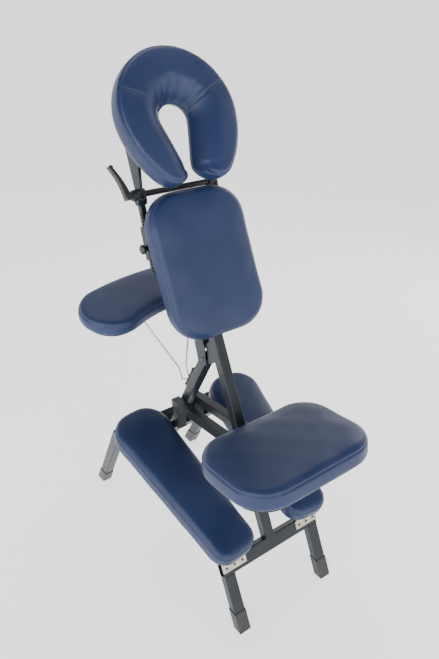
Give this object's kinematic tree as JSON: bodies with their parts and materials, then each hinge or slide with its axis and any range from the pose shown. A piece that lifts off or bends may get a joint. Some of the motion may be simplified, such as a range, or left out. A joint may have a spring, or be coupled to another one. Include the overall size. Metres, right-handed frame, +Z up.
{
  "type": "kneeling massage chair",
  "caption": "Folding kneeling massage chair with padded seat, two knee rests, chest pad, kidney-shaped arm rest and horseshoe face cradle on a tube frame.",
  "frame": {"origin": "on the floor, under the middle of the chair's bounding box", "axes": "+X the sitter's right, +Y the way the sitter faces, +Z up"},
  "size_m": [0.578, 0.8844, 1.4092],
  "materials": {
    "navy_leather": "semi-gloss smooth faux leather",
    "board_wrap": "plywood wrapped in dark backing cloth",
    "powder_coat": "satin charcoal powder coat",
    "black_plastic": "moulded satin",
    "black_rubber": "matte",
    "nickel": "nickel plated",
    "dark_screw": "black oxide",
    "steel_wire": "dull drawn wire"
  },
  "bodies": {
    "rear_frame": {"main_post": "powder_coat", "rear_crossbar": "powder_coat", "rear_leg_left": "powder_coat", "rear_leg_right": "powder_coat", "rear_feet": "black_plastic", "front_mast": "powder_coat", "gusset": "powder_coat", "arm_clevis": "powder_coat", "arm_hinge_pin": "dark_screw", "frame_pivot_bolt": "dark_screw", "seat_pivot_bolt": "dark_screw", "seat_pivot_washers": "dark_screw", "chest_straps": "powder_coat", "chest_board": "board_wrap", "chest_pad": "navy_leather", "knee_hinge_plate_left": "nickel", "knee_hinge_plate_right": "nickel", "knee_hinge_pins": "nickel", "hinge_screws": "dark_screw", "post_sockets": "powder_coat", "socket_crossbar": "powder_coat"},
    "front_frame": {"front_post": "powder_coat", "front_crossbar": "powder_coat", "crossbar_stub": "powder_coat", "front_leg_left": "powder_coat", "front_leg_right": "powder_coat", "front_feet": "black_plastic", "knee_rest_bar": "powder_coat", "knee_rest_caps": "black_plastic", "knee_rest_bumpers": "black_rubber", "arm_rack": "black_plastic"},
    "seat_frame": {"seat_tube_left": "powder_coat", "seat_tube_right": "powder_coat", "seat_drop_legs": "powder_coat", "seat_tube_caps": "black_plastic", "seat_ties": "powder_coat", "seat_board": "board_wrap", "seat_pad": "navy_leather"},
    "knee_left": {"knee_board_left": "board_wrap", "knee_pad_left": "navy_leather", "knee_hinge_leaf_left": "nickel"},
    "knee_right": {"knee_board_right": "board_wrap", "knee_pad_right": "navy_leather", "knee_hinge_leaf_right": "nickel"},
    "arm_rest": {"arm_board": "board_wrap", "arm_pad": "navy_leather", "arm_bracket": "powder_coat", "brace_clips": "black_plastic"},
    "brace": {"wire_brace": "steel_wire"},
    "cradle_posts": {"height_bars": "powder_coat", "cradle_axle": "dark_screw", "axle_sleeve": "black_plastic", "clamp_collar": "black_plastic", "lever_yoke": "black_plastic", "lever_pin": "dark_screw"},
    "face_cradle": {"cradle_plate": "board_wrap", "cradle_pad": "navy_leather", "cradle_arms": "powder_coat"},
    "clamp_lever": {"cam_lever": "black_plastic"},
    "knob": {"lock_knob": "black_plastic"}
  },
  "joints": [
    {"name": "frame_fold", "type": "hinge", "parent": "rear_frame", "child": "front_frame", "pos_m": [0, 0.03728, 0.626], "axis": [-1, 0, 0], "range_deg": [0, 45]},
    {"name": "seat_fold", "type": "hinge", "parent": "rear_frame", "child": "seat_frame", "pos_m": [0, -0.12572, 0.448], "axis": [1, 0, 0], "range_deg": [0, 40.5]},
    {"name": "knee_left_fold", "type": "hinge", "parent": "rear_frame", "child": "knee_left", "pos_m": [-0.131, -0.26572, 0.192], "axis": [1, 0, 0], "range_deg": [0, 23.5]},
    {"name": "knee_right_fold", "type": "hinge", "parent": "rear_frame", "child": "knee_right", "pos_m": [0.131, -0.26572, 0.192], "axis": [1, 0, 0], "range_deg": [0, 23.5]},
    {"name": "arm_tilt", "type": "hinge", "parent": "rear_frame", "child": "arm_rest", "pos_m": [0, 0.13328, 0.697], "axis": [1, 0, 0], "range_deg": [0, 35]},
    {"name": "brace_swing", "type": "hinge", "parent": "arm_rest", "child": "brace", "pos_m": [0, 0.27266, 0.74055], "axis": [1, 0, 0], "range_deg": [0, 60]},
    {"name": "cradle_height", "type": "slide", "parent": "rear_frame", "child": "cradle_posts", "axis": [0, 0.2924, 0.9563], "range_m": [0, 0.08]},
    {"name": "cradle_tilt", "type": "hinge", "parent": "cradle_posts", "child": "face_cradle", "pos_m": [0, 0.17068, 1.076], "axis": [1, 0, 0], "range_deg": [-40, 0]},
    {"name": "lever_swing", "type": "hinge", "parent": "cradle_posts", "child": "clamp_lever", "pos_m": [-0.144, 0.17068, 1.076], "axis": [0, -0.891, 0.454], "range_deg": [0, 75]},
    {"name": "knob_pull", "type": "slide", "parent": "rear_frame", "child": "knob", "axis": [-1, 0, 0], "range_m": [0, 0.007], "stiffness_N_per_m": 400}
  ],
  "couplings": [
    {"joint": "seat_fold", "follows": "frame_fold", "ratio": 0.889},
    {"joint": "knee_left_fold", "follows": "frame_fold", "ratio": 0.5},
    {"joint": "knee_right_fold", "follows": "frame_fold", "ratio": 0.5}
  ]
}
